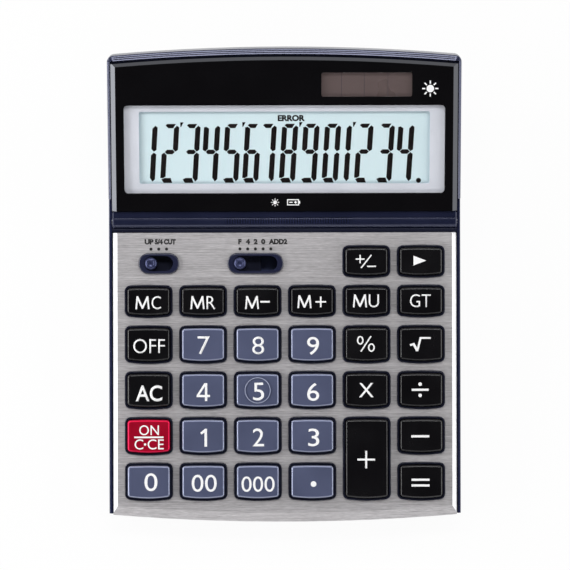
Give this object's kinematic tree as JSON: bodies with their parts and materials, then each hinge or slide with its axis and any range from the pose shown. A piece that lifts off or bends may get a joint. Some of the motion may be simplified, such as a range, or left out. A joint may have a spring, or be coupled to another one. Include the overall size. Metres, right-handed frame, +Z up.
{
  "type": "desk calculator",
  "caption": "Desk calculator with a sloped metal keyboard, separate sprung keys, slide switches and a tilting head that holds a wide display and a solar cell.",
  "frame": {"origin": "on the desk, under the middle of the overall box", "axes": "+X to the right of a person facing the keys, +Y to the rear, where the display is, +Z up"},
  "size_m": [0.1492, 0.2003, 0.0427],
  "materials": {
    "navy_plastic": "moulded plastic, dark navy, fine satin grain",
    "brushed_plate": "sheet aluminium brushed across the body",
    "grey_key": "satin moulded plastic, slate grey",
    "red_key": "satin moulded plastic, crimson",
    "black_key": "satin moulded plastic, black",
    "panel_black": "glossy acrylic, black",
    "clear_window": "clear acrylic",
    "silver_frame": "silver paint, smooth",
    "lcd_glass": "liquid-crystal cell with a pale reflector",
    "solar_film": "amorphous solar cell on glass",
    "silicone": "moulded silicone",
    "circuit_board": "glass-epoxy board, green",
    "black_resin": "potting resin",
    "contact_brass": "stamped or turned brass",
    "screw_steel": "zinc-plated steel",
    "cell_steel": "nickel-plated steel can",
    "foot_rubber": "soft rubber",
    "ribbon_film": "polyimide flat cable"
  },
  "bodies": {
    "base": {"lower_case": "navy_plastic", "upper_case": "navy_plastic", "face_plate": "brushed_plate", "key_mat": "silicone", "main_board": "circuit_board", "main_chip": "black_resin", "case_screws": "screw_steel", "rubber_feet": "foot_rubber", "button_cell": "cell_steel", "battery_contacts": "contact_brass", "hinge_pins": "screw_steel", "display_ribbon": "ribbon_film"},
    "display_head": {"head_frame": "navy_plastic", "head_back_cover": "navy_plastic", "head_screws": "screw_steel", "display_panel": "panel_black", "display_windows": "clear_window", "display_bezel": "silver_frame", "lcd_cell": "lcd_glass", "lcd_connectors": "silicone", "display_board": "circuit_board", "solar_cell": "solar_film", "hinge_bushes": "contact_brass"},
    "rounding_switch": {"rounding_slider": "navy_plastic", "rounding_wiper": "contact_brass"},
    "decimal_switch": {"decimal_slider": "navy_plastic", "decimal_wiper": "contact_brass"},
    "battery_cover": {"battery_door": "navy_plastic", "door_screw": "screw_steel"},
    "key_0": {"key_0": "grey_key"},
    "key_00": {"key_00": "grey_key"},
    "key_000": {"key_000": "grey_key"},
    "key_point": {"key_point": "grey_key"},
    "key_1": {"key_1": "grey_key"},
    "key_2": {"key_2": "grey_key"},
    "key_3": {"key_3": "grey_key"},
    "key_4": {"key_4": "grey_key"},
    "key_5": {"key_5": "grey_key"},
    "key_6": {"key_6": "grey_key"},
    "key_7": {"key_7": "grey_key"},
    "key_8": {"key_8": "grey_key"},
    "key_9": {"key_9": "grey_key"},
    "key_on_clear": {"key_on_clear": "red_key"},
    "key_equals": {"key_equals": "black_key"},
    "key_minus": {"key_minus": "black_key"},
    "key_ac": {"key_ac": "black_key"},
    "key_multiply": {"key_multiply": "black_key"},
    "key_divide": {"key_divide": "black_key"},
    "key_off": {"key_off": "black_key"},
    "key_percent": {"key_percent": "black_key"},
    "key_root": {"key_root": "black_key"},
    "key_mc": {"key_mc": "black_key"},
    "key_mr": {"key_mr": "black_key"},
    "key_m_minus": {"key_m_minus": "black_key"},
    "key_m_plus": {"key_m_plus": "black_key"},
    "key_mu": {"key_mu": "black_key"},
    "key_gt": {"key_gt": "black_key"},
    "key_plus_minus": {"key_plus_minus": "black_key"},
    "key_backspace": {"key_backspace": "black_key"},
    "key_plus": {"key_plus": "black_key"}
  },
  "joints": [
    {"name": "display_tilt", "type": "hinge", "parent": "base", "child": "display_head", "pos_m": [0, 0.02716, 0.02054], "axis": [1, 0, 0], "range_deg": [-10, 35], "deforming": ["display_ribbon"]},
    {"name": "rounding_slide", "type": "slide", "parent": "base", "child": "rounding_switch", "axis": [1, 0, 0], "range_m": [0, 0.0066]},
    {"name": "decimal_slide", "type": "slide", "parent": "base", "child": "decimal_switch", "axis": [1, 0, 0], "range_m": [0, 0.0131]},
    {"name": "battery_door_lift", "type": "slide", "parent": "base", "child": "battery_cover", "axis": [0, 0, -1], "range_m": [0, 0.012]},
    {"name": "key_0_press", "type": "slide", "parent": "base", "child": "key_0", "axis": [0, 0.0872, -0.9962], "range_m": [0, 0.0015], "stiffness_N_per_m": 250, "springref_m": -0.001, "deforming": ["key_mat"]},
    {"name": "key_00_press", "type": "slide", "parent": "base", "child": "key_00", "axis": [0, 0.0872, -0.9962], "range_m": [0, 0.0015], "stiffness_N_per_m": 250, "springref_m": -0.001, "deforming": ["key_mat"]},
    {"name": "key_000_press", "type": "slide", "parent": "base", "child": "key_000", "axis": [0, 0.0872, -0.9962], "range_m": [0, 0.0015], "stiffness_N_per_m": 250, "springref_m": -0.001, "deforming": ["key_mat"]},
    {"name": "key_point_press", "type": "slide", "parent": "base", "child": "key_point", "axis": [0, 0.0872, -0.9962], "range_m": [0, 0.0015], "stiffness_N_per_m": 250, "springref_m": -0.001, "deforming": ["key_mat"]},
    {"name": "key_1_press", "type": "slide", "parent": "base", "child": "key_1", "axis": [0, 0.0872, -0.9962], "range_m": [0, 0.0015], "stiffness_N_per_m": 250, "springref_m": -0.001, "deforming": ["key_mat"]},
    {"name": "key_2_press", "type": "slide", "parent": "base", "child": "key_2", "axis": [0, 0.0872, -0.9962], "range_m": [0, 0.0015], "stiffness_N_per_m": 250, "springref_m": -0.001, "deforming": ["key_mat"]},
    {"name": "key_3_press", "type": "slide", "parent": "base", "child": "key_3", "axis": [0, 0.0872, -0.9962], "range_m": [0, 0.0015], "stiffness_N_per_m": 250, "springref_m": -0.001, "deforming": ["key_mat"]},
    {"name": "key_4_press", "type": "slide", "parent": "base", "child": "key_4", "axis": [0, 0.0872, -0.9962], "range_m": [0, 0.0015], "stiffness_N_per_m": 250, "springref_m": -0.001, "deforming": ["key_mat"]},
    {"name": "key_5_press", "type": "slide", "parent": "base", "child": "key_5", "axis": [0, 0.0872, -0.9962], "range_m": [0, 0.0015], "stiffness_N_per_m": 250, "springref_m": -0.001, "deforming": ["key_mat"]},
    {"name": "key_6_press", "type": "slide", "parent": "base", "child": "key_6", "axis": [0, 0.0872, -0.9962], "range_m": [0, 0.0015], "stiffness_N_per_m": 250, "springref_m": -0.001, "deforming": ["key_mat"]},
    {"name": "key_7_press", "type": "slide", "parent": "base", "child": "key_7", "axis": [0, 0.0872, -0.9962], "range_m": [0, 0.0015], "stiffness_N_per_m": 250, "springref_m": -0.001, "deforming": ["key_mat"]},
    {"name": "key_8_press", "type": "slide", "parent": "base", "child": "key_8", "axis": [0, 0.0872, -0.9962], "range_m": [0, 0.0015], "stiffness_N_per_m": 250, "springref_m": -0.001, "deforming": ["key_mat"]},
    {"name": "key_9_press", "type": "slide", "parent": "base", "child": "key_9", "axis": [0, 0.0872, -0.9962], "range_m": [0, 0.0015], "stiffness_N_per_m": 250, "springref_m": -0.001, "deforming": ["key_mat"]},
    {"name": "key_on_clear_press", "type": "slide", "parent": "base", "child": "key_on_clear", "axis": [0, 0.0872, -0.9962], "range_m": [0, 0.0015], "stiffness_N_per_m": 250, "springref_m": -0.001, "deforming": ["key_mat"]},
    {"name": "key_equals_press", "type": "slide", "parent": "base", "child": "key_equals", "axis": [0, 0.0872, -0.9962], "range_m": [0, 0.0015], "stiffness_N_per_m": 250, "springref_m": -0.001, "deforming": ["key_mat"]},
    {"name": "key_minus_press", "type": "slide", "parent": "base", "child": "key_minus", "axis": [0, 0.0872, -0.9962], "range_m": [0, 0.0015], "stiffness_N_per_m": 250, "springref_m": -0.001, "deforming": ["key_mat"]},
    {"name": "key_ac_press", "type": "slide", "parent": "base", "child": "key_ac", "axis": [0, 0.0872, -0.9962], "range_m": [0, 0.0015], "stiffness_N_per_m": 250, "springref_m": -0.001, "deforming": ["key_mat"]},
    {"name": "key_multiply_press", "type": "slide", "parent": "base", "child": "key_multiply", "axis": [0, 0.0872, -0.9962], "range_m": [0, 0.0015], "stiffness_N_per_m": 250, "springref_m": -0.001, "deforming": ["key_mat"]},
    {"name": "key_divide_press", "type": "slide", "parent": "base", "child": "key_divide", "axis": [0, 0.0872, -0.9962], "range_m": [0, 0.0015], "stiffness_N_per_m": 250, "springref_m": -0.001, "deforming": ["key_mat"]},
    {"name": "key_off_press", "type": "slide", "parent": "base", "child": "key_off", "axis": [0, 0.0872, -0.9962], "range_m": [0, 0.0015], "stiffness_N_per_m": 250, "springref_m": -0.001, "deforming": ["key_mat"]},
    {"name": "key_percent_press", "type": "slide", "parent": "base", "child": "key_percent", "axis": [0, 0.0872, -0.9962], "range_m": [0, 0.0015], "stiffness_N_per_m": 250, "springref_m": -0.001, "deforming": ["key_mat"]},
    {"name": "key_root_press", "type": "slide", "parent": "base", "child": "key_root", "axis": [0, 0.0872, -0.9962], "range_m": [0, 0.0015], "stiffness_N_per_m": 250, "springref_m": -0.001, "deforming": ["key_mat"]},
    {"name": "key_mc_press", "type": "slide", "parent": "base", "child": "key_mc", "axis": [0, 0.0872, -0.9962], "range_m": [0, 0.0015], "stiffness_N_per_m": 250, "springref_m": -0.001, "deforming": ["key_mat"]},
    {"name": "key_mr_press", "type": "slide", "parent": "base", "child": "key_mr", "axis": [0, 0.0872, -0.9962], "range_m": [0, 0.0015], "stiffness_N_per_m": 250, "springref_m": -0.001, "deforming": ["key_mat"]},
    {"name": "key_m_minus_press", "type": "slide", "parent": "base", "child": "key_m_minus", "axis": [0, 0.0872, -0.9962], "range_m": [0, 0.0015], "stiffness_N_per_m": 250, "springref_m": -0.001, "deforming": ["key_mat"]},
    {"name": "key_m_plus_press", "type": "slide", "parent": "base", "child": "key_m_plus", "axis": [0, 0.0872, -0.9962], "range_m": [0, 0.0015], "stiffness_N_per_m": 250, "springref_m": -0.001, "deforming": ["key_mat"]},
    {"name": "key_mu_press", "type": "slide", "parent": "base", "child": "key_mu", "axis": [0, 0.0872, -0.9962], "range_m": [0, 0.0015], "stiffness_N_per_m": 250, "springref_m": -0.001, "deforming": ["key_mat"]},
    {"name": "key_gt_press", "type": "slide", "parent": "base", "child": "key_gt", "axis": [0, 0.0872, -0.9962], "range_m": [0, 0.0015], "stiffness_N_per_m": 250, "springref_m": -0.001, "deforming": ["key_mat"]},
    {"name": "key_plus_minus_press", "type": "slide", "parent": "base", "child": "key_plus_minus", "axis": [0, 0.0872, -0.9962], "range_m": [0, 0.0015], "stiffness_N_per_m": 250, "springref_m": -0.001, "deforming": ["key_mat"]},
    {"name": "key_backspace_press", "type": "slide", "parent": "base", "child": "key_backspace", "axis": [0, 0.0872, -0.9962], "range_m": [0, 0.0015], "stiffness_N_per_m": 250, "springref_m": -0.001, "deforming": ["key_mat"]},
    {"name": "key_plus_press", "type": "slide", "parent": "base", "child": "key_plus", "axis": [0, 0.0872, -0.9962], "range_m": [0, 0.0015], "stiffness_N_per_m": 250, "springref_m": -0.001, "deforming": ["key_mat"]}
  ]
}
